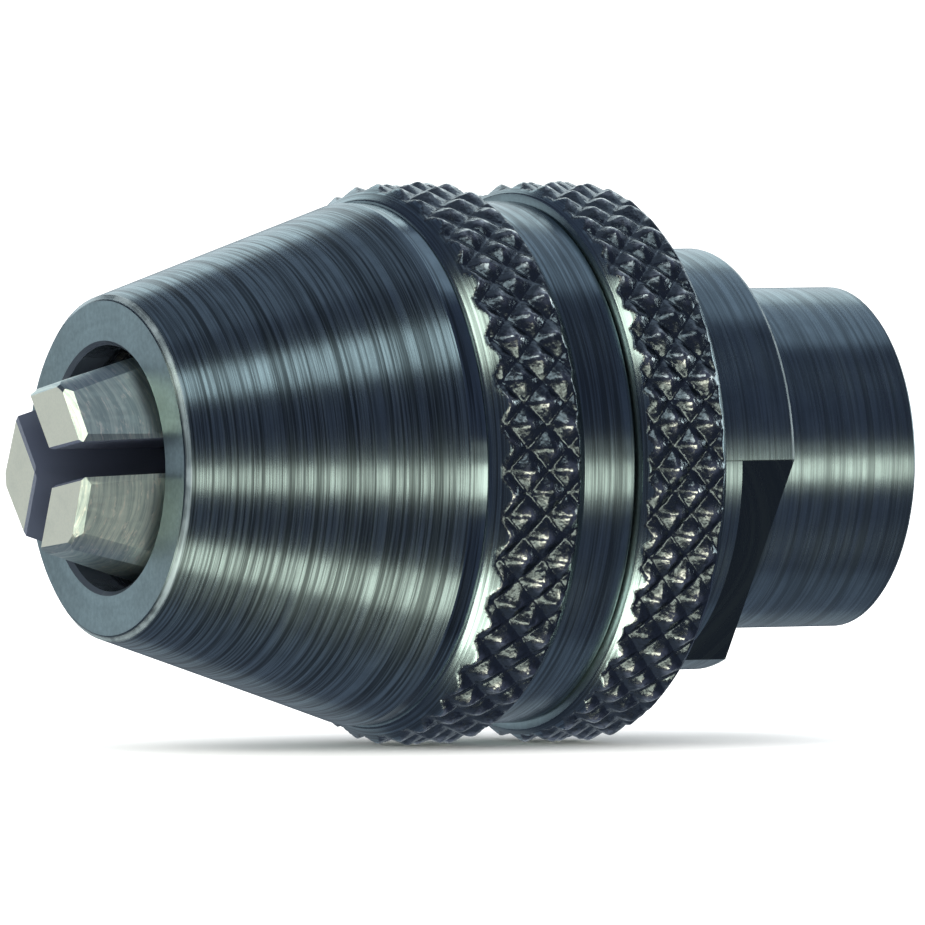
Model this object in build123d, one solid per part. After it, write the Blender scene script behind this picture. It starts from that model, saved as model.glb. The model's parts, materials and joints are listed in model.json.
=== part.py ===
from build123d import *
import os
from math import cos, degrees, pi, radians, sin, tan

# A small keyless three-jaw drill chuck. Each piece is first drawn standing on its rear end:
# Z runs from the rear face towards the nose and heights are distances from the rear face.
# Each is then laid down, so that the nose points along -Y and the spindle hole opens at +Y.
# Lengths are millimetres.

# ---- shank and collar
SHANK_R = 6.32
SHANK_LENGTH = 6.05
SHANK_EDGE = 0.1
COLLAR_R = 7.82
FLAT_DISTANCE = 6.35
FLAT_END = 8.25
FLAT_ANGLE = -34.5

# ---- spindle hole, M8 x 0.75
THREAD_MINOR_R = 3.594
THREAD_PITCH = 0.75
THREAD_LAND = 0.2
THREAD_DEPTH = 0.42
THREAD_LENGTH = 9.2
THREAD_LEAD_IN = 0.4
WEB_END = 9.9
WEB_HOLE_R = 1.75

# ---- neck that the sleeve turns on
SHOULDER_END = 13.5
NECK_R = 6.0
NECK_END = 16.45
NUT_SEAT_R = 5.4
NOSE_OF_BODY = 17.7
FEED_BORE_R = 3.0
SEAL_GROOVE_R = 5.6
SEAL_START = 14.0
SEAL_WIDTH = 0.5
SEAL_R = 6.03

# ---- knurled rings and smooth band
TIP_R = 10.4
BAND_R = 9.65
BAND_EDGE = 0.12
RING_CHAMFER = 0.72
REAR_RING_START = 10.1
REAR_RING_END = 13.65
LIP_START = 13.57
LIP_R = 9.1
SLEEVE_START = 13.78
BAND_END = 15.9
SLEEVE_END = 19.9
SLEEVE_WALL_END = 14.75
SLEEVE_WALL_HOLE_R = 6.05
SLEEVE_BORE_R = 8.3

# ---- thrust race
WASHER_THICK = 0.4
RACE_R = 7.15
BALL_R = 0.44
BALL_COUNT = 16
RACE_GAP = 0.9
CAGE_INNER_R = 6.2
CAGE_OUTER_R = 8.1
CAGE_THICK = 0.5
CAGE_POCKET_R = 0.47
TURNING_GAP = 0.1

# ---- hood
SPIGOT_START = 17.8
HOOD_BORE_R = 7.3
LAND_R = 9.63
LAND_END = 20.6
NOSE_R = 6.3
NOSE_EDGE = 0.16
NOSE_FACE = 30.6
NOSE_HOLE_R = 4.52
CONE_ANGLE = 18.0
CONE_R_AT_FACE = 4.1
SNAP_GROOVE_R = 7.55
SNAP_START = 18.0
SNAP_THICK = 0.4
SNAP_INNER_R = 6.4
SNAP_GAP = 3.0

# ---- jaws
JAW_COUNT = 3
JAW_ANGLE = 68.5
JAW_TIP = 33.1
JAW_BACK = 23.8
SLOT_HALF = 0.655
JAW_CORNER_R = 0.6
JAW_CLEARANCE = 0.03
GRIP_R_CLOSED = 0.15
GRIP_R_OPEN = 1.6
RELIEF_R = 3.6
RELIEF_HALF = 1.81
RELIEF_END = 28.5
FLANK_ANGLE = 32.0
FLANK_DEPTH = 0.16
FLANK_LEAN = 0.27
TIP_BEVEL_DEPTH = 0.34
TIP_BEVEL_LEAN = 0.9
TIP_EDGE = 0.09
SLOT_FACE_ANGLE = 150.0
TAIL_INNER = 2.2
TAIL_OUTER = 4.6
TAIL_NECK_WIDTH = 2.2
TAIL_HEAD_WIDTH = 3.6
TAIL_HEAD_THICK = 1.1

# ---- feed screw
SCREW_LEAD = 1.0
SCREW_CREST_R = 2.95
SCREW_ROOT_R = 2.5
SCREW_RISE = 0.3
SCREW_CREST = 0.3
SCREW_START = 12.4
SCREW_HOLE_R = 1.7
HEAD_R = 5.5
HEAD_START = 20.4
HEAD_END = 23.6
TEE_FLOOR = 21.6
TEE_THICK = 1.2
TEE_NECK_WIDTH = 2.3
TEE_HEAD_WIDTH = 3.7
TEE_INNER = 1.3

# ---- jaw guide
GUIDE_START = 18.4
GUIDE_RING_END = 21.2
GUIDE_INNER_R = 6.1
FINGER_WIDTH = 2.2
FINGER_INNER_R = 4.0
FINGER_END = 26.5
NOTCH_INNER_R = 3.9
NOTCH_WIDTH = 2.3
GUIDE_CLEARANCE = 0.02

# ---- drawing aids: REACH is longer than any radius of the chuck
REACH = 14.0
SEAM_ANGLE = -95.0

# ---- worked out from the above
SLOPE = tan(radians(CONE_ANGLE))
GRIP_R_REST = (SLOT_HALF + JAW_CORNER_R) / sin(radians(60)) - JAW_CORNER_R
CLOSING = GRIP_R_REST - GRIP_R_CLOSED
OPENING = GRIP_R_OPEN - GRIP_R_REST


def hood_cone_r(height):
    """Radius of the hood's inner cone at a height."""
    return CONE_R_AT_FACE + (NOSE_FACE - height) * SLOPE


def turned(points):
    """A solid of revolution about Z from its outline of (radius, height) points.

    The seam of its round faces lies on the underside of the laid-down chuck.
    """
    outline = make_face(Plane.XZ * Polyline(*points, close=True))
    return Rot(0, 0, SEAM_ANGLE) * revolve(outline, Axis.Z, 360)


def tube(inner_r, outer_r, low, high):
    return turned([(inner_r, low), (outer_r, low), (outer_r, high), (inner_r, high)])


def bar(x_low, x_high, width, low, high):
    """A block along X, centred on the XZ plane."""
    block = Box(x_high - x_low, width, high - low, align=(Align.MIN, Align.CENTER, Align.MIN))
    return Pos(x_low, 0, low) * block


def around(shape, angles):
    """The same shape at each angle about Z."""
    return [Rot(0, 0, angle) * shape for angle in angles]


def jaw_angles():
    return [JAW_ANGLE + 120 * k for k in range(JAW_COUNT)]


def slot_angles():
    return [angle - 60 for angle in jaw_angles()]


def body_outline():
    """Half section of the body, from the mouth of the spindle hole round to its front end."""
    points = [
        (THREAD_MINOR_R + THREAD_LEAD_IN, 0),
        (SHANK_R - SHANK_EDGE, 0),
        (SHANK_R, SHANK_EDGE),
        (SHANK_R, SHANK_LENGTH),
        (COLLAR_R, SHANK_LENGTH),
        (COLLAR_R, SHOULDER_END),
        (NECK_R, SHOULDER_END),
        (NECK_R, SEAL_START),
        (SEAL_GROOVE_R, SEAL_START),
        (SEAL_GROOVE_R, SEAL_START + SEAL_WIDTH),
        (NECK_R, SEAL_START + SEAL_WIDTH),
        (NECK_R, NECK_END),
        (NUT_SEAT_R, NECK_END),
        (NUT_SEAT_R, NOSE_OF_BODY),
        (FEED_BORE_R, NOSE_OF_BODY),
        (FEED_BORE_R, WEB_END),
        (WEB_HOLE_R, WEB_END),
        (WEB_HOLE_R, THREAD_LENGTH),
        (THREAD_MINOR_R, THREAD_LENGTH),
    ]
    # Ring grooves stand for the thread, from the bottom of the hole to its mouth.
    height = THREAD_LENGTH - THREAD_LAND
    while height - THREAD_PITCH > THREAD_LEAD_IN:
        groove = THREAD_PITCH - THREAD_LAND
        points += [
            (THREAD_MINOR_R, height),
            (THREAD_MINOR_R + THREAD_DEPTH, height - groove / 2),
            (THREAD_MINOR_R, height - groove),
        ]
        height -= THREAD_PITCH
    points.append((THREAD_MINOR_R, THREAD_LEAD_IN))
    return points


def chuck_body():
    body = turned(body_outline())
    flat_height = FLAT_END - SHANK_LENGTH
    beyond = bar(FLAT_DISTANCE, REACH, 2 * COLLAR_R, SHANK_LENGTH, SHANK_LENGTH + flat_height)
    return body - around(beyond, (FLAT_ANGLE, FLAT_ANGLE + 180))


def rear_grip_ring():
    """The knurled ring on the collar. Its front is recessed round the sleeve's lip."""
    recess_r = LIP_R + TURNING_GAP
    return turned([
        (COLLAR_R, REAR_RING_START),
        (TIP_R - RING_CHAMFER, REAR_RING_START),
        (TIP_R, REAR_RING_START + RING_CHAMFER),
        (TIP_R, REAR_RING_END - RING_CHAMFER),
        (TIP_R - RING_CHAMFER, REAR_RING_END),
        (recess_r, REAR_RING_END),
        (recess_r, SHOULDER_END),
        (COLLAR_R, SHOULDER_END),
    ])


def dust_seal():
    """A soft ring in the neck's groove with a rounded outer edge."""
    middle = SEAL_START + SEAL_WIDTH / 2
    flank = SEAL_WIDTH / 4
    return turned([
        (SEAL_GROOVE_R, SEAL_START),
        (SEAL_R - flank, SEAL_START),
        (SEAL_R, middle - flank),
        (SEAL_R, middle + flank),
        (SEAL_R - flank, SEAL_START + SEAL_WIDTH),
        (SEAL_GROOVE_R, SEAL_START + SEAL_WIDTH),
    ])


def bearing_nut():
    """Screws on the front of the neck and holds the race in; four slots take a spanner."""
    outer_r = SLEEVE_BORE_R - TURNING_GAP
    nut = tube(NUT_SEAT_R, outer_r, NECK_END, NOSE_OF_BODY)
    slot_width, slot_depth, slot_inner_r = 1.1, 0.55, 6.9
    slot = bar(slot_inner_r, REACH, slot_width, NOSE_OF_BODY - slot_depth, NOSE_OF_BODY + 1)
    return nut - around(slot, range(0, 360, 90))


def rear_washer():
    """Turns with the sleeve, so it fits the sleeve and clears the neck."""
    low = SLEEVE_WALL_END
    return tube(NECK_R + TURNING_GAP, SLEEVE_BORE_R, low, low + WASHER_THICK)


def front_washer():
    """Stays with the body, so it fits the neck and clears the sleeve."""
    return tube(NECK_R, SLEEVE_BORE_R - TURNING_GAP, NECK_END - WASHER_THICK, NECK_END)


def race_middle():
    return SLEEVE_WALL_END + WASHER_THICK + RACE_GAP / 2


def ball_angles():
    return [360 * k / BALL_COUNT for k in range(BALL_COUNT)]


def ball_cage():
    low = race_middle() - CAGE_THICK / 2
    cage = tube(CAGE_INNER_R, CAGE_OUTER_R, low, low + CAGE_THICK)
    pocket = Pos(RACE_R, 0, race_middle()) * Cylinder(CAGE_POCKET_R, 2 * CAGE_THICK)
    return cage - around(pocket, ball_angles())


def ball(angle):
    return Rot(0, 0, angle) * (Pos(RACE_R, 0, race_middle()) * Sphere(BALL_R))


def grip_sleeve():
    """The front knurled ring and the smooth band, over the thrust race.

    A low lip on the rear end closes the gap to the rear ring against dust.
    """
    return turned([
        (SLEEVE_WALL_HOLE_R, LIP_START),
        (LIP_R, LIP_START),
        (LIP_R, SLEEVE_START),
        (BAND_R - BAND_EDGE, SLEEVE_START),
        (BAND_R, SLEEVE_START + BAND_EDGE),
        (BAND_R, BAND_END),
        (TIP_R - RING_CHAMFER, BAND_END),
        (TIP_R, BAND_END + RING_CHAMFER),
        (TIP_R, SLEEVE_END - RING_CHAMFER),
        (TIP_R - RING_CHAMFER, SLEEVE_END),
        (SLEEVE_BORE_R, SLEEVE_END),
        (SLEEVE_BORE_R, SLEEVE_WALL_END),
        (SLEEVE_WALL_HOLE_R, SLEEVE_WALL_END),
    ])


def nose_hood():
    bore_end = NOSE_FACE - (HOOD_BORE_R - CONE_R_AT_FACE) / SLOPE
    counterbore_start = NOSE_FACE - (NOSE_HOLE_R - CONE_R_AT_FACE) / SLOPE
    outer_slope = (LAND_R - NOSE_R) / (NOSE_FACE - LAND_END)
    return turned([
        (HOOD_BORE_R, SPIGOT_START),
        (SLEEVE_BORE_R, SPIGOT_START),
        (SLEEVE_BORE_R, SLEEVE_END),
        (LAND_R, SLEEVE_END),
        (LAND_R, LAND_END),
        (NOSE_R + NOSE_EDGE * outer_slope, NOSE_FACE - NOSE_EDGE),
        (NOSE_R - NOSE_EDGE, NOSE_FACE),
        (NOSE_HOLE_R + NOSE_EDGE, NOSE_FACE),
        (NOSE_HOLE_R, NOSE_FACE - NOSE_EDGE),
        (NOSE_HOLE_R, counterbore_start),
        (HOOD_BORE_R, bore_end),
        (HOOD_BORE_R, SNAP_START + SNAP_THICK),
        (SNAP_GROOVE_R, SNAP_START + SNAP_THICK),
        (SNAP_GROOVE_R, SNAP_START),
        (HOOD_BORE_R, SNAP_START),
    ])


def guide_retaining_ring():
    """A split spring ring in the hood's groove."""
    ring = tube(SNAP_INNER_R, SNAP_GROOVE_R, SNAP_START, SNAP_START + SNAP_THICK)
    gap = bar(0, REACH, SNAP_GAP, SNAP_START - 1, SNAP_START + SNAP_THICK + 1)
    return ring - Rot(0, 0, JAW_ANGLE) * gap


def hood_hollow(clearance):
    """The space in the hood from the guide's seat to the nose, less a clearance."""
    bore_r = HOOD_BORE_R - clearance
    bore_end = NOSE_FACE - (bore_r + clearance - CONE_R_AT_FACE) / SLOPE
    return turned([
        (0, GUIDE_START),
        (bore_r, GUIDE_START),
        (bore_r, bore_end),
        (CONE_R_AT_FACE - clearance, NOSE_FACE),
        (0, NOSE_FACE),
    ])


def jaw_guide():
    """A ring with three fingers that stand between the jaws."""
    ring = tube(GUIDE_INNER_R, REACH, GUIDE_START, GUIDE_RING_END)
    finger = bar(0, REACH, FINGER_WIDTH, GUIDE_START, FINGER_END)
    clear_of = Pos(0, 0, GUIDE_START) * Cylinder(
        FINGER_INNER_R, 2 * (FINGER_END - GUIDE_START), align=(Align.CENTER,) * 3)
    guide = ring
    for piece in around(finger, slot_angles()):
        guide += piece
    return (guide - clear_of) & hood_hollow(GUIDE_CLEARANCE)


def wedge(half_gap, low, high, corner_r=0.0):
    """The 120 degree sector along X whose sides stand half_gap off the planes between jaws."""
    tip = half_gap / sin(radians(60))
    far = tip + REACH * cos(radians(60))
    side = REACH * sin(radians(60))
    outline = Polyline((tip, 0), (far, side), (2 * REACH, side), (2 * REACH, -side),
                       (far, -side), close=True)
    block = Pos(0, 0, low) * extrude(make_face(outline), high - low)
    if corner_r:
        inner_edge = block.edges().filter_by(Axis.Z).sort_by(Axis.X)[0]
        block = fillet(inner_edge, corner_r)
    return block


def jaw_tip_r():
    return hood_cone_r(JAW_TIP) - JAW_CLEARANCE - CLOSING


def jaw_cone():
    """What lies inside the jaw's back. It shares the hood's axis when the chuck is closed."""
    tip_r = jaw_tip_r()
    return Pos(CLOSING, 0, 0) * turned([
        (0, JAW_BACK),
        (tip_r + (JAW_TIP - JAW_BACK) * SLOPE, JAW_BACK),
        (tip_r + TIP_EDGE * SLOPE, JAW_TIP - TIP_EDGE),
        (tip_r - TIP_EDGE, JAW_TIP),
        (0, JAW_TIP),
    ])


def beyond_plane(point, normal):
    """A large block that fills the outer side of a plane."""
    plane = Plane(origin=point, z_dir=normal)
    return plane * Box(REACH, REACH, REACH, align=(Align.CENTER, Align.CENTER, Align.MIN))


def jaw_flats(tip_r):
    """What the flats remove: on each side a long flank, a short bevel and the slot edge's break."""
    cutters = []
    for side in (-1, 1):
        flats = (
            (CLOSING, FLANK_ANGLE, tip_r - FLANK_DEPTH, FLANK_LEAN),
            (CLOSING, FLANK_ANGLE, tip_r - TIP_BEVEL_DEPTH, TIP_BEVEL_LEAN),
            (0, SLOT_FACE_ANGLE, -SLOT_HALF - TIP_EDGE, 1),
        )
        for centre, turn, reach, lean in flats:
            angle = radians(side * turn)
            point = (centre + reach * cos(angle), reach * sin(angle), JAW_TIP)
            cutters.append(beyond_plane(point, (cos(angle), sin(angle), lean)))
    return cutters


def jaw():
    """One jaw on the X axis: a gripping sector, relieved beside the guide, and a T tail."""
    front = wedge(SLOT_HALF, RELIEF_END, JAW_TIP, JAW_CORNER_R)
    narrow = wedge(RELIEF_HALF, JAW_BACK, RELIEF_END)
    core = tube(0, RELIEF_R, JAW_BACK, RELIEF_END) & wedge(SLOT_HALF, JAW_BACK, RELIEF_END,
                                                            JAW_CORNER_R)
    block = (front + narrow + core) & jaw_cone()
    for cutter in jaw_flats(jaw_tip_r()):
        block -= cutter
    floor = TEE_FLOOR + (TEE_THICK - TAIL_HEAD_THICK) / 2
    neck = bar(TAIL_INNER, TAIL_OUTER, TAIL_NECK_WIDTH, floor, JAW_BACK)
    head = bar(TAIL_INNER, TAIL_OUTER, TAIL_HEAD_WIDTH, floor, floor + TAIL_HEAD_THICK)
    return block + neck + head


def screw_outline():
    """Half section of the feed screw, its threads drawn as ring ridges."""
    points = [(SCREW_HOLE_R, SCREW_START), (SCREW_ROOT_R, SCREW_START)]
    height = SCREW_START
    while height + SCREW_LEAD < HEAD_START:
        points += [
            (SCREW_CREST_R, height + SCREW_RISE),
            (SCREW_CREST_R, height + SCREW_RISE + SCREW_CREST),
            (SCREW_ROOT_R, height + 2 * SCREW_RISE + SCREW_CREST),
        ]
        height += SCREW_LEAD
    return points + [
        (SCREW_ROOT_R, HEAD_START),
        (HEAD_R, HEAD_START),
        (HEAD_R, HEAD_END),
        (SCREW_HOLE_R, HEAD_END),
    ]


def feed_screw():
    """Left-hand screw with a T-slot for each jaw's tail and a notch for each guide finger."""
    screw = turned(screw_outline())
    tee = bar(TEE_INNER, REACH, TEE_HEAD_WIDTH, TEE_FLOOR, TEE_FLOOR + TEE_THICK)
    tee += bar(TEE_INNER, REACH, TEE_NECK_WIDTH, TEE_FLOOR, HEAD_END + 1)
    notch = bar(0, REACH, NOTCH_WIDTH, HEAD_START - 1, HEAD_END + 1)
    notch -= Pos(0, 0, HEAD_START) * Cylinder(NOTCH_INNER_R, REACH)
    return screw - around(tee, jaw_angles()) - around(notch, slot_angles())


def laid_down(shape):
    """Turns the standing shape so that its nose points along -Y."""
    return Rot(90, 0, 0) * shape


def pieces():
    parts = {
        "chuck_body": chuck_body(),
        "rear_grip_ring": rear_grip_ring(),
        "dust_seal": dust_seal(),
        "bearing_nut": bearing_nut(),
        "thrust_washer_front": front_washer(),
        "thrust_washer_rear": rear_washer(),
        "ball_cage": ball_cage(),
        "grip_sleeve": grip_sleeve(),
        "nose_hood": nose_hood(),
        "guide_retaining_ring": guide_retaining_ring(),
        "jaw_guide": jaw_guide(),
        "feed_screw": feed_screw(),
    }
    for number, angle in enumerate(ball_angles(), start=1):
        parts[f"ball_{number:02d}"] = ball(angle)
    for number, angle in enumerate(jaw_angles(), start=1):
        parts[f"jaw_{number}"] = Rot(0, 0, angle) * jaw()
    return parts


def main():
    os.makedirs("parts", exist_ok=True)
    for name, shape in pieces().items():
        export_step(laid_down(shape), f"parts/{name}.step")
    closing_turn = degrees(2 * pi * CLOSING / SLOPE / SCREW_LEAD)
    opening_turn = degrees(2 * pi * OPENING / SLOPE / SCREW_LEAD)
    print(f"closing {CLOSING:.4f} mm in {closing_turn:.2f} deg")
    print(f"opening {OPENING:.4f} mm in {opening_turn:.2f} deg")


main()
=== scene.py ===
import json
import math

import bmesh
import bpy
import numpy as np
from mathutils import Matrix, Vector


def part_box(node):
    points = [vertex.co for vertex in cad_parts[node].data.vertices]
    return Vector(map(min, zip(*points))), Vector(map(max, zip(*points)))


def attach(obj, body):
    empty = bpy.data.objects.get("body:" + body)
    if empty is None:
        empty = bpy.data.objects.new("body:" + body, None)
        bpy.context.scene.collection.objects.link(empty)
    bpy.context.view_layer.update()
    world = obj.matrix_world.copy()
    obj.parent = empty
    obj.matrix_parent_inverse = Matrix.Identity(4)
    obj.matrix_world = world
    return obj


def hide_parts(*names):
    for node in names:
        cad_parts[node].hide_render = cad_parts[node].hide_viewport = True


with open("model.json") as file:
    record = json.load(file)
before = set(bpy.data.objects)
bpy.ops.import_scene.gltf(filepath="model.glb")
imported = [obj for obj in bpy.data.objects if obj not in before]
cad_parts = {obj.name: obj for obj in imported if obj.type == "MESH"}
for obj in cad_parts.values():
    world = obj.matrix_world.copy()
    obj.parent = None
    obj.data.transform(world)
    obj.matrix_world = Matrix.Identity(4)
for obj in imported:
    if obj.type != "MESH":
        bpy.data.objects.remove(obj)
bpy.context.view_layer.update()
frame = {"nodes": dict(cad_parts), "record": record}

# A small keyless drill chuck. It lies along Y with its nose towards -Y, and distances along it
# are measured from its rear face. Lengths are metres.
MM = 0.001
UM = 0.001 * MM

# ---- camera and floor
CAMERA_AZIMUTH = math.radians(61.3)
CAMERA_ELEVATION = math.radians(1.7)
CAMERA_DISTANCE = 0.8
CLIP_START = 0.01
LENS_MM = 843
SENSOR_MM = 36
AIM = Vector((0, -15.71 * MM, 0))
FLOOR_SIZE = 24.0
FLOOR_CELLS = 8

# ---- knurl, where numbers without a unit are parts of a tooth's width or height
TEETH = 38
STEPS_PER_TOOTH = 16
SLEEVE_PITCH = 1.71 * MM
RING_PITCH = 1.52 * MM
KNURL_DEPTH = 0.36 * MM
RIDGE_SHARPNESS = 3.2
APEX_ROUND = 0.16
GROOVE_FLOOR = -0.15
GROOVE_SCATTER = 0.021
HEIGHT_SCATTER = 0.22
ROW = 0.075 * MM
SLEEVE_SEED = 3
RING_SEED = 8
TOUCHING = 1e-8
SHARP_EDGE = math.radians(62)

# ---- grip sleeve and rear ring
BAND_LENGTH = 2.12 * MM
BAND_R = 9.65 * MM
BAND_EDGE_R = 0.05 * MM
SLEEVE_CHAMFER = 0.72 * MM
SLEEVE_HOLE_R = 6.05 * MM
LIP_LENGTH = 0.21 * MM
LIP_R = 9.1 * MM
REAR_CHAMFER = 0.50 * MM
RECESS_R = 9.2 * MM
RECESS_DEPTH = 0.15 * MM

# ---- worn edges of the hood and the body: (radius, distance from the rear face), width of wear
NOSE_RIM = (6.3 * MM, 30.5 * MM), 0.17 * MM
COLLAR_RIM = (7.82 * MM, 6.05 * MM), 0.10 * MM
SHANK_RIM = (6.3 * MM, 0.0), 0.12 * MM
FLAT_TOLERANCE = 0.012 * MM

# ---- finishes, in linear colour
BLUED = (0.42, 0.53, 0.55)
# painted shade for the bores and the faces in radial planes, which lie in shade
NAVY_PAINTED_SHADE = (0.060, 0.076, 0.098)
WORN = (0.30, 0.36, 0.38)
KNURL_BLUED = (0.21, 0.245, 0.255)
KNURL_WORN = (0.95, 0.97, 0.92)
KNURL_GRIME = (0.090, 0.100, 0.100)
BRIGHT = (0.99, 0.94, 0.76)
STAINED = (0.48, 0.50, 0.42)
GROUND = (0.60, 0.60, 0.52)
SIDE_TINT = (0.62, 0.88, 0.92)
SCRATCH = (1.0, 1.0, 0.90)
# painted shade for the jaws' slot faces, which lie in shade
SLOT_PAINTED_SHADE = (0.086, 0.102, 0.148)
INNER_STEEL = (0.42, 0.42, 0.42)
BRASS = (0.72, 0.52, 0.22)
BALL_STEEL = (0.75, 0.75, 0.77)
RUBBER = (0.010, 0.010, 0.011)
RUBBER_DUST = (0.022, 0.022, 0.022)
FLOOR_DARK = (0.93, 0.93, 0.93)
FLOOR_PALE = (0.96, 0.96, 0.96)

# ---- noise in the finishes, in cells per metre
HAZE = 400.0
STAIN = 700.0
CLOUD = 900.0
PATCH = 1100.0
MOTTLE = 5200.0
RUBBER_GRAIN = 6000.0
KNURL_GRAIN = 7000.0
JAW_GRAIN = 9000.0

# ---- turning lines: how far the coordinates are stretched across and along a tool's path
LINES_ACROSS = 1000.0
LINES_AROUND = 15.0
JAW_LINES_AROUND = 60.0
JAW_SCRATCHES_AROUND = 320.0
RADIUS_WEIGHT = 1.3

# ---- light and reflections
WORLD_WHITE = 1.6
WORLD_DIM = (0.045, 0.054, 0.090, 1)
WARM = (1.0, 1.0, 0.82)
COOL = (0.86, 0.97, 1.0)
SKY = (0.70, 0.83, 1.0)

# Name, direction from the chuck, distance, width and height, radiance and tint of each light.
# The cone, the cylinders and the knurl's facets each mirror other parts of the room.
LIGHTS = (
    # bright bands along the cone and the cylinders
    ("front_light", (0.95, 0.17, -0.10), 0.4, (0.46, 0.09), 1.6, WARM),
    ("band_light", (0.86, 0.50, -0.07), 0.4, (0.12, 0.19), 0.24, WARM),
    ("camera_light", (0.86, -0.50, 0.06), 0.4, (0.10, 0.06), 1.2, WARM),
    ("upper_light", (0.61, -0.06, 0.80), 0.4, (0.16, 0.13), 1.0, COOL),
    ("lower_light", (0.57, -0.06, -0.82), 0.4, (0.16, 0.125), 1.5, WARM),
    # glints on the knurl
    ("lower_knurl_light", (0.43, -0.48, -0.77), 0.4, (0.20, 0.10), 1.5, WARM),
    ("bottom_knurl_light", (0.16, -0.52, -0.84), 0.4, (0.16, 0.14), 4.5, WARM),
    ("upper_knurl_light", (0.52, -0.36, 0.77), 0.4, (0.10, 0.06), 1.0, COOL),
    ("rear_knurl_light", (-0.15, 0.92, 0.15), 0.4, (0.24, 0.16), 2.5, COOL),
    # chamfers, jaws and the nose face
    ("upper_nose_light", (0.17, -0.74, 0.60), 0.4, (0.18, 0.14), 3.0, WARM),
    ("lower_nose_light", (0.17, -0.74, -0.66), 0.4, (0.18, 0.14), 4.5, WARM),
    ("nose_face_light", (-0.88, -0.48, 0.0), 0.5, (0.30, 0.40), 0.62, COOL),
    # pale edges and the soft fill above and below
    ("rim_light", (-0.80, 0.38, 0.42), 0.5, (0.50, 0.30), 0.95, COOL),
    ("under_rim_light", (-0.80, 0.38, -0.46), 0.5, (0.50, 0.24), 0.22, COOL),
    ("sky_light", (-0.35, 0.20, 0.92), 0.5, (0.60, 0.55), 0.11, SKY),
    ("shank_sky_light", (-0.25, 0.62, 0.75), 0.5, (0.30, 0.40), 0.20, SKY),
    ("ground_light", (-0.40, 0.20, -0.90), 0.5, (0.60, 0.45), 0.08, SKY),
)


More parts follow.
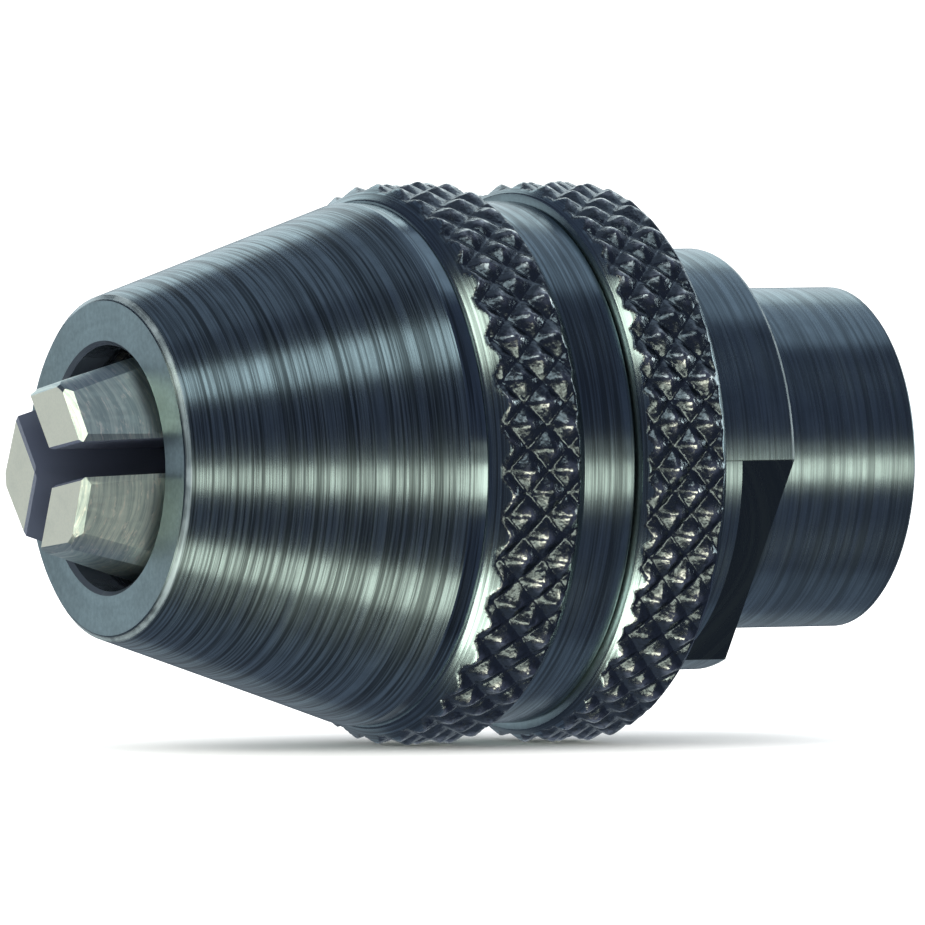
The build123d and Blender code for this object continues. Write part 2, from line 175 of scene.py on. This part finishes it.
# ---------------------------------------------------------------- node building
class Graph:
    """A material under construction. Most methods add nodes and return an output."""

    def __init__(self, name):
        self.material = bpy.data.materials.new(name)
        self.material.use_nodes = True
        self.tree = self.material.node_tree
        self.shader = self.tree.nodes["Principled BSDF"]
        self.coords = self.tree.nodes.new("ShaderNodeTexCoord").outputs["Object"]

    def put(self, socket, value):
        if isinstance(value, bpy.types.NodeSocket):
            self.tree.links.new(value, socket)
        else:
            socket.default_value = value

    def set(self, **inputs):
        """Sets the shader's own sockets by name, with underscores for spaces."""
        for name, value in inputs.items():
            self.put(self.shader.inputs[name.replace("_", " ")], value)

    def math(self, operation, a, b=0.0, c=0.0):
        node = self.tree.nodes.new("ShaderNodeMath")
        node.operation = operation
        for socket, value in zip(node.inputs, (a, b, c)):
            self.put(socket, value)
        return node.outputs[0]

    def times(self, a, b):
        return self.math("MULTIPLY", a, b)

    def plus(self, a, b):
        return self.math("ADD", a, b)

    def sum_of_products(self, a, b, c, d):
        return self.math("MULTIPLY_ADD", a, b, self.times(c, d))

    def length(self, a, b):
        return self.math("SQRT", self.sum_of_products(a, a, b, b))

    def lowered(self, mask, amount):
        """1, less an amount where the mask is 1."""
        return self.math("MULTIPLY_ADD", mask, -amount, 1.0)

    def split(self, vector):
        node = self.tree.nodes.new("ShaderNodeSeparateXYZ")
        self.put(node.inputs[0], vector)
        return node.outputs

    def join(self, x, y, z):
        node = self.tree.nodes.new("ShaderNodeCombineXYZ")
        for socket, value in zip(node.inputs, (x, y, z)):
            self.put(socket, value)
        return node.outputs[0]

    def noise(self, vector, scale, detail=3.0, rough=0.6):
        node = self.tree.nodes.new("ShaderNodeTexNoise")
        self.put(node.inputs["Vector"], vector)
        self.put(node.inputs["Scale"], scale)
        self.put(node.inputs["Detail"], detail)
        self.put(node.inputs["Roughness"], rough)
        return node.outputs["Fac"]

    def ramp(self, value, low, high, out_low=0.0, out_high=1.0):
        node = self.tree.nodes.new("ShaderNodeMapRange")
        node.interpolation_type = "SMOOTHSTEP"
        for socket, number in zip(node.inputs, (value, low, high, out_low, out_high)):
            self.put(socket, number)
        return node.outputs[0]

    def mix(self, factor, a, b):
        """A colour between two. Its sockets go by number: their names repeat on this node."""
        node = self.tree.nodes.new("ShaderNodeMix")
        node.data_type = "RGBA"
        self.put(node.inputs[0], factor)
        self.put(node.inputs[6], (*a, 1) if isinstance(a, tuple) else a)
        self.put(node.inputs[7], (*b, 1) if isinstance(b, tuple) else b)
        return node.outputs[2]

    def bump(self, height, depth, before=None):
        """Bump of a real depth in metres, on top of an earlier bump if one is given."""
        node = self.tree.nodes.new("ShaderNodeBump")
        node.inputs["Strength"].default_value = 1.0
        node.inputs["Distance"].default_value = depth
        self.put(node.inputs["Height"], height)
        if before:
            self.put(node.inputs["Normal"], before)
        return node.outputs[0]

    def radius(self):
        """Distance from the chuck's axis."""
        x, _, z = self.split(self.coords)
        return self.length(x, z)

    def facing(self):
        """How far the surface faces along the axis, and how far it faces away from it."""
        geometry = self.tree.nodes.new("ShaderNodeNewGeometry")
        turned = self.tree.nodes.new("ShaderNodeVectorTransform")
        turned.vector_type = "NORMAL"
        turned.convert_from = "WORLD"
        turned.convert_to = "OBJECT"
        self.put(turned.inputs[0], geometry.outputs["True Normal"])
        across, along, up = self.split(turned.outputs[0])
        x, _, z = self.split(self.coords)
        outward = self.sum_of_products(across, x, up, z)
        return self.math("ABSOLUTE", along), self.math("DIVIDE", outward, self.radius())

    def off_end_faces(self, along):
        return self.ramp(along, 0.85, 0.97, 1.0, 0.0)

    def side_mask(self):
        """1 on every surface but the faces square to the axis."""
        along, _ = self.facing()
        return self.off_end_faces(along)

    def inner_mask(self):
        """1 on surfaces that face the axis or lie in a radial plane, and on nothing else."""
        along, outward = self.facing()
        return self.times(self.ramp(outward, 0.05, 0.2, 1.0, 0.0), self.off_end_faces(along))

    def rim_mask(self, rim, width):
        """1 on the circular edge at a (radius, distance) and 0 beyond a width from it."""
        rim_r, distance = rim
        _, y, _ = self.split(self.coords)
        off = self.length(self.math("SUBTRACT", self.radius(), rim_r), self.plus(y, distance))
        return self.ramp(off, 0.4 * width, width, 1.0, 0.0)

    def flat_mask(self, across, distance):
        """1 on the wrench flats, which lie at a distance from the axis along a direction."""
        x, _, z = self.split(self.coords)
        reach = self.math("ABSOLUTE", self.sum_of_products(x, across.x, z, across.z))
        return self.math("COMPARE", reach, distance, FLAT_TOLERANCE)

    def turning_lines(self, around=LINES_AROUND):
        """Coordinates that vary fast across a lathe tool's path and slowly along it."""
        x, y, z = self.split(self.coords)
        across = self.math("MULTIPLY_ADD", self.radius(), RADIUS_WEIGHT, y)
        return self.join(self.times(x, around), self.times(across, LINES_ACROSS),
                         self.times(z, around))

    def tangent(self):
        """The direction round the axis."""
        node = self.tree.nodes.new("ShaderNodeTangent")
        node.direction_type = "RADIAL"
        node.axis = "Y"
        return node.outputs[0]


# ---------------------------------------------------------------- materials
def darker(colour, share):
    """A colour at a share of its brightness."""
    return tuple(share * c for c in colour)


def turned_steel(name, roughness, streak_depth, rims=(), flats=None, cylinder_polish=0.0):
    """Blued lathe-turned steel: bright and dark rings, satin end faces, worn rims, and painted
    shade on bores, radial faces and wrench flats.
    """
    graph = Graph(name)
    lines = graph.turning_lines()
    fine = graph.noise(lines, 8.0, rough=0.65)
    coarse = graph.noise(lines, 2.6, detail=2.0)
    cloud = graph.noise(graph.coords, CLOUD, detail=4.0)
    mottle = graph.noise(graph.coords, MOTTLE)
    side = graph.side_mask()
    inner = graph.inner_mask()

    streak = graph.ramp(graph.sum_of_products(fine, 0.62, coarse, 0.38), 0.40, 0.60)
    satin = graph.ramp(mottle, 0.25, 0.75, 0.55, 0.8)
    level = graph.math("MULTIPLY_ADD", graph.math("SUBTRACT", streak, satin), side, satin)
    colour = graph.mix(level, darker(BLUED, 1 - streak_depth), BLUED)
    colour = graph.mix(graph.ramp(cloud, 0.40, 0.72, 0.0, 0.30), colour, darker(BLUED, 0.45))
    # Painted shade: bores and faces in radial planes go dark navy and mostly matt.
    colour = graph.mix(inner, colour, NAVY_PAINTED_SHADE)
    metallic = graph.lowered(inner, 0.7)
    for rim, width in rims:
        worn = graph.times(graph.rim_mask(rim, width), graph.ramp(cloud, 0.35, 0.65, 0.35, 0.9))
        colour = graph.mix(worn, colour, WORN)
        metallic = graph.times(metallic, graph.lowered(worn, 0.6))
    # Painted shade: the wrench flats are darkened to stand in for the dark room they mirror.
    if flats:
        colour = graph.mix(graph.flat_mask(*flats), colour, darker(BLUED, 0.28))

    # The cylinders may be finer than the cone, and the end faces are rougher than both.
    rough = graph.ramp(coarse, 0.3, 0.7, roughness + 0.03, roughness - 0.03)
    along, _ = graph.facing()
    rough = graph.plus(rough, graph.ramp(along, 0.05, 0.25, cylinder_polish, 0.0))
    rough = graph.plus(rough, graph.ramp(side, 0.0, 1.0, 0.10, 0.0))
    bump = graph.bump(graph.times(fine, side), 1.2 * UM)
    bump = graph.bump(mottle, 0.5 * UM, bump)
    graph.set(Base_Color=colour, Metallic=metallic, Roughness=rough, Normal=bump,
              Anisotropic=0.6, Anisotropic_Rotation=0.25, Tangent=graph.tangent())
    return graph.material


def knurled_steel(name, tip_r):
    """Blued knurl: specks of grime all over, and crests rubbed bright here and there."""
    graph = Graph(name)
    height = graph.ramp(graph.radius(), tip_r - KNURL_DEPTH, tip_r)
    patch = graph.noise(graph.coords, PATCH)
    grain = graph.noise(graph.coords, KNURL_GRAIN)
    worn = graph.times(graph.ramp(height, 0.35, 0.95), graph.ramp(patch, 0.38, 0.56))
    colour = graph.mix(worn, KNURL_BLUED, KNURL_WORN)
    colour = graph.mix(graph.ramp(grain, 0.45, 0.70, 0.0, 0.6), colour, KNURL_GRIME)
    bump = graph.bump(patch, 90 * UM)
    bump = graph.bump(grain, 8 * UM, bump)
    graph.set(Base_Color=colour, Metallic=1.0, Normal=bump,
              Roughness=graph.ramp(grain, 0.3, 0.7, 0.14, 0.28))
    return graph.material


def jaw_steel(name):
    """Bright steel: turned streaks on the outside, ground tips and painted shade on the slot
    faces.
    """
    graph = Graph(name)
    fine = graph.noise(graph.turning_lines(JAW_LINES_AROUND), 5.0, rough=0.7)
    scratch = graph.noise(graph.turning_lines(JAW_SCRATCHES_AROUND), 5.0, rough=0.7)
    grain = graph.noise(graph.coords, JAW_GRAIN)
    stain = graph.noise(graph.coords, STAIN)
    side = graph.side_mask()
    inner = graph.inner_mask()

    streak = graph.times(graph.ramp(fine, 0.35, 0.65, 1.0, 0.0), side)
    colour = graph.mix(graph.times(streak, 0.75), BRIGHT, darker(BRIGHT, 0.25))
    colour = graph.mix(graph.ramp(stain, 0.45, 0.75, 0.0, 0.15), colour, STAINED)
    colour = graph.mix(graph.ramp(grain, 0.35, 0.7, 0.0, 0.12), colour, GROUND)
    colour = graph.mix(graph.times(side, 0.45), colour, SIDE_TINT)
    colour = graph.mix(graph.times(graph.ramp(scratch, 0.55, 0.70), side), colour, SCRATCH)
    # Painted shade: the slot faces and any bores go dark and mostly matt.
    colour = graph.mix(inner, colour, SLOT_PAINTED_SHADE)
    bump = graph.bump(graph.times(fine, side), 3 * UM)
    bump = graph.bump(stain, 20 * UM, bump)
    bump = graph.bump(grain, 0.5 * UM, bump)
    graph.set(Base_Color=colour, Metallic=graph.lowered(inner, 0.7), Normal=bump,
              Roughness=graph.ramp(grain, 0.3, 0.7, 0.30, 0.34))
    return graph.material


def machined_metal(name, colour, roughness, line_depth=2 * UM):
    """Metal of the inner pieces, with plain machining lines."""
    graph = Graph(name)
    fine = graph.noise(graph.turning_lines(), 8.0)
    haze = graph.noise(graph.coords, HAZE)
    graph.set(Base_Color=graph.mix(graph.ramp(fine, 0.3, 0.7), darker(colour, 0.75), colour),
              Metallic=1.0, Normal=graph.bump(fine, line_depth),
              Roughness=graph.ramp(haze, 0.3, 0.7, roughness - 0.05, roughness + 0.08))
    return graph.material


def seal_rubber(name):
    graph = Graph(name)
    grain = graph.noise(graph.coords, RUBBER_GRAIN)
    graph.set(Base_Color=graph.mix(graph.ramp(grain, 0.3, 0.7), RUBBER, RUBBER_DUST),
              Roughness=graph.ramp(grain, 0.3, 0.7, 0.55, 0.75),
              Normal=graph.bump(grain, 3 * UM))
    return graph.material


def floor_paint():
    graph = Graph("pale_floor")
    patch = graph.noise(graph.coords, 3.0, detail=2.0, rough=0.5)
    graph.set(Base_Color=graph.mix(patch, FLOOR_DARK, FLOOR_PALE), Roughness=0.9,
              Specular_IOR_Level=0.0)
    return graph.material


def wrench_flats():
    """Direction across the wrench flats, and their distance from the axis."""
    mount = next(m for m in frame["record"]["mounts"] if m["name"] == "wrench_flat_a")
    across = Vector(mount["axis"])
    return across, across.dot(Vector(mount["pos_m"]))


def give(node_names, material):
    """Puts a material on CAD nodes."""
    for name in node_names:
        for slot in frame["nodes"][name].material_slots:
            slot.material = material


# ---------------------------------------------------------------- knurled pieces
def limits(node):
    """Rear and front distance along the axis, and outer radius, of a CAD node."""
    low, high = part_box(node)
    return -high.y, -low.y, high.x


def tooth_height(turns, along, pitch, rng):
    """Height of the knurl, 1 on a tooth's tip and about 0 in its grooves.

    Two sets of grooves cross. Each tooth's tip is a little off centre, and each tooth has its own
    height. A high RIDGE_SHARPNESS makes the teeth pyramids, and 2 would make them cones.
    """
    up = turns + along / pitch
    down = turns - along / pitch
    row = np.floor(up).astype(int) % TEETH
    column = np.floor(down).astype(int) % TEETH
    lean_up, lean_down = rng.normal(0, GROOVE_SCATTER, (2, TEETH))
    off_up = np.abs(up - np.floor(up) - 0.5 - lean_up[row]) * 2
    off_down = np.abs(down - np.floor(down) - 0.5 - lean_down[column]) * 2
    off = (off_up ** RIDGE_SHARPNESS + off_down ** RIDGE_SHARPNESS) ** (1 / RIDGE_SHARPNESS)
    off = np.sqrt(off ** 2 + APEX_ROUND ** 2)
    height = np.clip(1 + APEX_ROUND - off, GROOVE_FLOOR, 1)
    return height * (1 - HEIGHT_SCATTER * rng.random((TEETH, TEETH))[row, column])


def cell_triangles(turns, along, pitch):
    """Two triangles for each cell of the lathe's grid, split along the groove that crosses it."""
    rows, columns = along.shape
    a = np.arange(rows * columns).reshape(rows, columns)
    b = np.roll(a, -1, 1)
    c = np.roll(b, -1, 0)
    d = np.roll(a, -1, 0)
    turns_middle = turns + 0.5 / STEPS_PER_TOOTH
    middle = along + 0.5 * (np.roll(along, -1, 0) - along)
    up = turns_middle + middle / pitch
    down = turns_middle - middle / pitch
    follow_up = (np.abs(up - np.round(up)) < np.abs(down - np.round(down)))[..., None]
    first = np.where(follow_up, np.stack([a, b, d], -1), np.stack([a, b, c], -1))
    second = np.where(follow_up, np.stack([b, c, d], -1), np.stack([a, c, d], -1))
    return np.concatenate([first.reshape(-1, 3), second.reshape(-1, 3)])


def knurled_lathe(name, outline, knurl, seed):
    """A closed turned piece. Where the outline stands above the knurl's grooves, they cut it."""
    rear, tip_r, pitch = knurl
    rng = np.random.default_rng(seed)
    columns = TEETH * STEPS_PER_TOOTH
    turns = np.arange(columns)[None] / STEPS_PER_TOOTH
    angle = 2 * np.pi * turns / TEETH
    outer, along = (np.repeat(np.array(row)[:, None], columns, 1) for row in zip(*outline))
    grooves = tip_r - KNURL_DEPTH * (1 - tooth_height(turns, along - rear, pitch, rng))
    radius = np.minimum(outer, grooves)
    verts = np.stack([radius * np.cos(angle), -along, radius * np.sin(angle)], -1)
    faces = cell_triangles(turns, along - rear, pitch)
    mesh = bpy.data.meshes.new(name)
    mesh.from_pydata(verts.reshape(-1, 3).tolist(), [], faces.tolist())

    # A face is knurled where a groove has cut it, or where it lies on the tip cylinder.
    cut = (radius < outer - TOUCHING) | (outer > tip_r - TOUCHING)
    cut_face = cut.ravel()[faces].any(1)
    mesh.polygons.foreach_set("material_index", np.where(cut_face, 0, 1))
    mesh.update()
    shade(mesh)
    piece = bpy.data.objects.new(name, mesh)
    bpy.context.scene.collection.objects.link(piece)
    return piece


def shade(mesh):
    """Faces outwards, smooth except over sharp edges."""
    work = bmesh.new()
    work.from_mesh(mesh)
    bmesh.ops.recalc_face_normals(work, faces=work.faces)
    work.to_mesh(mesh)
    work.free()
    mesh.polygons.foreach_set("use_smooth", [True] * len(mesh.polygons))
    mesh.set_sharp_from_angle(angle=SHARP_EDGE)


def rear_edge(radius, rear, steps=4):
    """Outline points of the small arc that rounds an outer edge at a piece's rear."""
    turns = [math.pi / 2 * k / steps for k in range(steps + 1)]
    return [(radius - BAND_EDGE_R * (1 - math.sin(t)), rear + BAND_EDGE_R * (1 - math.cos(t)))
            for t in turns]


def chamfer(start, end, steps=8):
    """Outline points along a chamfer."""
    return [tuple(Vector(start).lerp(Vector(end), k / steps)) for k in range(steps + 1)]


def ring_outline(tip_r, rear, front, size):
    """Outline points over a knurled ring, from its rear chamfer to its front one."""
    low, high = rear + size, front - size
    rows = int(round((high - low) / ROW))
    points = chamfer((tip_r - size, rear), (tip_r, low))
    points += [(tip_r, low + (high - low) * k / rows) for k in range(1, rows)]
    return points + chamfer((tip_r, high), (tip_r - size, front))


def grip_sleeve():
    """Lip, smooth band and front knurled ring, with the bore for the thrust race inside."""
    lip, front, tip_r = limits("grip_sleeve")
    wall, _, bore_r = limits("thrust_washer_rear")
    rear = lip + LIP_LENGTH
    knurl_rear = rear + BAND_LENGTH
    outline = [(SLEEVE_HOLE_R, lip), (LIP_R, lip), (LIP_R, rear)]
    outline += rear_edge(BAND_R, rear) + [(BAND_R, knurl_rear)]
    outline += ring_outline(tip_r, knurl_rear, front, SLEEVE_CHAMFER)
    outline += [(bore_r, front), (bore_r, wall), (SLEEVE_HOLE_R, wall)]
    knurl = (knurl_rear, tip_r, SLEEVE_PITCH)
    return knurled_lathe("grip_sleeve_knurled", outline, knurl, SLEEVE_SEED)


def rear_ring():
    """Second knurled ring, pressed on the collar, with a recess for the sleeve's lip."""
    rear, front, tip_r = limits("rear_grip_ring")
    bore_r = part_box("chuck_body")[1].x
    recess = front - RECESS_DEPTH
    outline = [(bore_r, rear)]
    outline += ring_outline(tip_r, rear, front, REAR_CHAMFER)
    outline += [(RECESS_R, front), (RECESS_R, recess), (bore_r, recess)]
    knurl = (rear, tip_r, RING_PITCH)
    return knurled_lathe("rear_grip_ring_knurled", outline, knurl, RING_SEED)


# ---------------------------------------------------------------- stage
def make_camera():
    data = bpy.data.cameras.new("camera")
    data.lens = LENS_MM
    data.sensor_width = SENSOR_MM
    data.clip_start = CLIP_START
    camera = bpy.data.objects.new("camera", data)
    bpy.context.scene.collection.objects.link(camera)
    level = math.cos(CAMERA_ELEVATION)
    towards = Vector((math.sin(CAMERA_AZIMUTH) * level, -math.cos(CAMERA_AZIMUTH) * level,
                      math.sin(CAMERA_ELEVATION)))
    camera.location = AIM + CAMERA_DISTANCE * towards
    camera.rotation_euler = towards.to_track_quat("Z", "Y").to_euler()
    bpy.context.scene.camera = camera


def make_floor(height):
    """A wide pale sheet that the two knurled rings rest on."""
    work = bmesh.new()
    bmesh.ops.create_grid(work, x_segments=FLOOR_CELLS, y_segments=FLOOR_CELLS,
                          size=FLOOR_SIZE / 2)
    mesh = bpy.data.meshes.new("floor")
    work.to_mesh(mesh)
    work.free()
    floor = bpy.data.objects.new("floor", mesh)
    floor.location.z = height
    bpy.context.scene.collection.objects.link(floor)
    mesh.materials.append(floor_paint())
    floor.visible_glossy = False
    floor.visible_shadow = False


def make_light(name, towards, distance, size, radiance, tint):
    """A rectangular softbox of a given brightness that faces the chuck."""
    data = bpy.data.lights.new(name, "AREA")
    data.shape = "RECTANGLE"
    data.size, data.size_y = size
    data.energy = radiance * math.pi * size[0] * size[1]
    data.color = tint
    light = bpy.data.objects.new(name, data)
    bpy.context.scene.collection.objects.link(light)
    towards = Vector(towards).normalized()
    light.location = AIM + distance * towards
    light.rotation_euler = towards.to_track_quat("Z", "Y").to_euler()
    light.visible_camera = False


def make_world():
    """White to the eye and to matt surfaces, and dim blue in the reflections of the metal."""
    world = bpy.data.worlds.new("studio")
    world.use_nodes = True
    tree = world.node_tree
    tree.nodes.clear()
    path = tree.nodes.new("ShaderNodeLightPath")
    white = tree.nodes.new("ShaderNodeBackground")
    white.inputs["Color"].default_value = (1, 1, 1, 1)
    white.inputs["Strength"].default_value = WORLD_WHITE
    dim = tree.nodes.new("ShaderNodeBackground")
    dim.inputs["Color"].default_value = WORLD_DIM
    mixed = tree.nodes.new("ShaderNodeMixShader")
    output = tree.nodes.new("ShaderNodeOutputWorld")
    tree.links.new(path.outputs["Is Glossy Ray"], mixed.inputs[0])
    tree.links.new(white.outputs[0], mixed.inputs[1])
    tree.links.new(dim.outputs[0], mixed.inputs[2])
    tree.links.new(mixed.outputs[0], output.inputs["Surface"])
    bpy.context.scene.world = world


# ---------------------------------------------------------------- the scene
make_camera()
make_world()
for settings in LIGHTS:
    make_light(*settings)

sleeve = grip_sleeve()
ring = rear_ring()
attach(sleeve, "hood")
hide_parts("grip_sleeve")
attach(ring, "body")
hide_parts("rear_grip_ring")

knurl_finish = knurled_steel("knurled_steel_worn", limits("grip_sleeve")[2])
turned_finish = turned_steel("ring_steel_turned", roughness=0.24, streak_depth=0.6)
for knurled in (sleeve, ring):
    knurled.data.materials.append(knurl_finish)
    knurled.data.materials.append(turned_finish)

give(["nose_hood"], turned_steel("hood_steel_turned", roughness=0.27, streak_depth=0.74,
                                 rims=[NOSE_RIM], cylinder_polish=-0.08))
give(["chuck_body"], turned_steel("body_steel_turned", roughness=0.27, streak_depth=0.45,
                                  rims=[COLLAR_RIM, SHANK_RIM], flats=wrench_flats()))
give(["jaw_1", "jaw_2", "jaw_3"], jaw_steel("jaw_steel_ground"))
give(["feed_screw", "jaw_guide", "guide_retaining_ring", "bearing_nut", "thrust_washer_front",
      "thrust_washer_rear"], machined_metal("inner_steel_machined", INNER_STEEL, 0.32))
give(["ball_cage"], machined_metal("cage_brass_stamped", BRASS, 0.3))
give([n for n in frame["nodes"] if n.startswith("ball_") and n != "ball_cage"],
     machined_metal("ball_steel_polished", BALL_STEEL, 0.12, line_depth=0.2 * UM))
give(["dust_seal"], seal_rubber("seal_rubber_black"))

make_floor(min(v.co.z for v in sleeve.data.vertices))
bpy.context.scene.view_settings.view_transform = "Standard"
